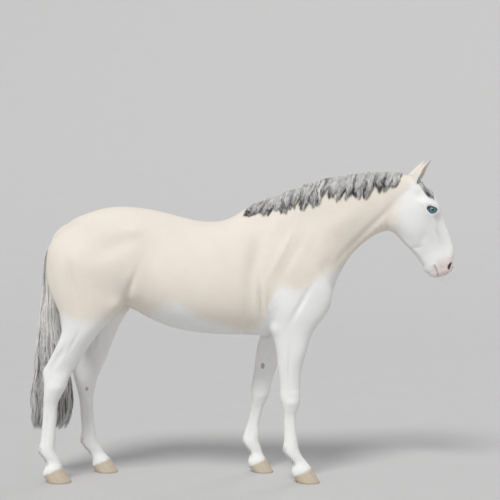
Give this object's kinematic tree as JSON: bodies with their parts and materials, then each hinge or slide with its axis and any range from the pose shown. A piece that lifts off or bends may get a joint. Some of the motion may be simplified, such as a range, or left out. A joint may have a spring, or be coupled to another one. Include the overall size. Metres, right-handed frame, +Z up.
{
  "type": "horse",
  "caption": "Life-size still model of an adult riding horse standing square, cream body with white legs and face, blue eyes, short wavy mane and long tail.",
  "frame": {"origin": "on the floor, at the middle of the whole animal's box", "axes": "+X along the body from tail to muzzle, +Y towards the animal's left, +Z up"},
  "size_m": [2.5919, 0.6199, 1.9314],
  "materials": {
    "coat": "short flat hair, cream",
    "white": "short flat hair, white",
    "longHair": "long silver and grey hair",
    "horn": "pale hoof horn, satin",
    "eye": "wet and glossy"
  },
  "bodies": {
    "root": {"trunk": "coat", "neck": "coat", "head": "white", "ear_left": "coat", "ear_right": "coat", "eye_left": "eye", "eye_right": "eye", "foreleg_left": "white", "foreleg_right": "white", "hindleg_left": "white", "hindleg_right": "white", "hoof_fore_left": "horn", "hoof_fore_right": "horn", "hoof_hind_left": "horn", "hoof_hind_right": "horn", "mane": "longHair", "forelock": "longHair", "tail": "longHair"}
  },
  "joints": []
}
